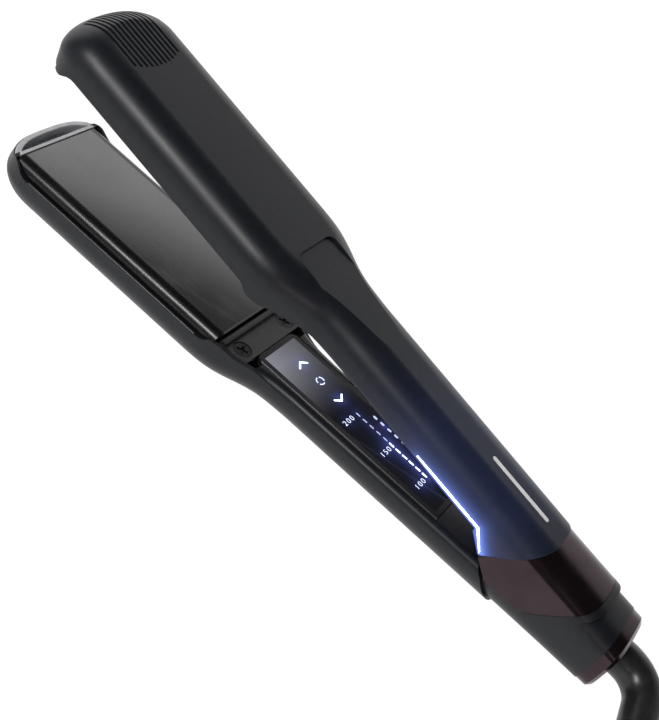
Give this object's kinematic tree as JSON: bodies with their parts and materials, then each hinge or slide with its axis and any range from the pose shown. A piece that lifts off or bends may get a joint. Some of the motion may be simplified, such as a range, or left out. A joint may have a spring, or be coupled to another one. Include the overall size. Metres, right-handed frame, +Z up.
{
  "type": "hair straightener",
  "caption": "Wide-plate hair straightening iron with two hinged sprung arms, floating heated plates, touch display, vented tip and swivelling mains cord.",
  "frame": {"origin": "bottom centre of the iron without its cord: on the surface the lower arm's outer face rests on, mid length, mid width", "axes": "+X along the arms towards the tips, +Y across the arms, +Z up, from the lower arm to the upper arm"},
  "size_m": [0.3948, 0.1046, 0.0761],
  "materials": {
    "shell": "matte black soft-touch shell",
    "plate": "polished dark ceramic coating on aluminium",
    "tip": "satin dark grey tip recess",
    "frame": "heat-resistant moulding",
    "cover": "smooth dark inner cover",
    "heater": "alumina heater",
    "clip": "pressed spring steel",
    "sensor": "glazed bead",
    "pad": "silicone",
    "screw": "black oxide steel",
    "bezel": "gloss black",
    "panel": "gloss black display panel",
    "film": "clear film",
    "board": "printed circuit board",
    "led": "light emitting diodes",
    "component": "electronic components",
    "wire": "silicone insulated wire",
    "bronze": "gloss dark bronze coating",
    "steel": "ground steel",
    "light": "light guide",
    "relief": "moulded flexible sleeve",
    "cord": "round mains cord",
    "tie": "woven hook and loop strap",
    "plug_pin": "plated plug pins"
  },
  "bodies": {
    "lower_arm": {"lower_head_shell": "shell", "lower_handle_shell": "shell", "rear_housing": "shell", "end_plate": "shell", "lower_tip_tray": "tip", "lower_inner_frame": "frame", "lower_carrier": "frame", "hinge_front_cover": "cover", "lower_float_pads": "pad", "lower_heat_shield": "clip", "lower_frame_screws": "screw", "display_bezel": "bezel", "display_panel": "panel", "touch_film": "film", "led_board": "board", "main_board": "board", "display_leds": "led", "board_components": "component", "lower_wiring": "wire", "hinge_cover": "bronze", "end_ring": "bronze", "swivel_socket": "frame", "hinge_base": "frame", "hinge_pin": "steel", "torsion_spring": "steel"},
    "upper_arm": {"upper_head_shell": "shell", "upper_handle_shell": "shell", "upper_tip_tray": "tip", "upper_carrier": "frame", "upper_heat_shield": "clip", "upper_inner_frame": "frame", "upper_frame_screws": "screw", "upper_inner_cover": "cover", "upper_light_strips": "light", "hinge_yoke": "frame", "upper_wiring": "wire", "upper_float_pads": "pad"},
    "lower_floating_plate": {"lower_plate": "plate", "lower_heater": "heater", "lower_heater_clip": "clip", "lower_thermistor": "sensor", "lower_plate_frame": "frame"},
    "upper_floating_plate": {"upper_plate": "plate", "upper_heater": "heater", "upper_heater_clip": "clip", "upper_thermistor": "sensor", "upper_plate_frame": "frame"},
    "swivel_cord": {"swivel_collar": "relief", "strain_relief": "relief", "cord": "cord", "cord_coil": "cord", "coil_tie": "tie", "plug_lead": "cord", "plug_body": "relief", "plug_pins": "plug_pin"}
  },
  "joints": [
    {"name": "arm_hinge", "type": "hinge", "parent": "lower_arm", "child": "upper_arm", "pos_m": [-0.0851, 0, 0.01825], "axis": [0, 1, 0], "range_deg": [0, 11], "stiffness_Nm_per_rad": 0.9, "springref_deg": -22.92, "deforming": ["torsion_spring"]},
    {"name": "lower_plate_float", "type": "slide", "parent": "lower_arm", "child": "lower_floating_plate", "axis": [0, 0, -1], "range_m": [0, 0.0008], "stiffness_N_per_m": 3000, "springref_m": -0.001, "deforming": ["lower_float_pads"]},
    {"name": "upper_plate_float", "type": "slide", "parent": "upper_arm", "child": "upper_floating_plate", "axis": [-0.1908, 0, 0.9816], "range_m": [0, 0.0008], "stiffness_N_per_m": 3000, "springref_m": -0.001, "deforming": ["upper_float_pads"]},
    {"name": "cord_swivel", "type": "hinge", "parent": "lower_arm", "child": "swivel_cord", "pos_m": [-0.1347, 0, 0.0134], "axis": [1, 0, 0], "continuous": true}
  ]
}
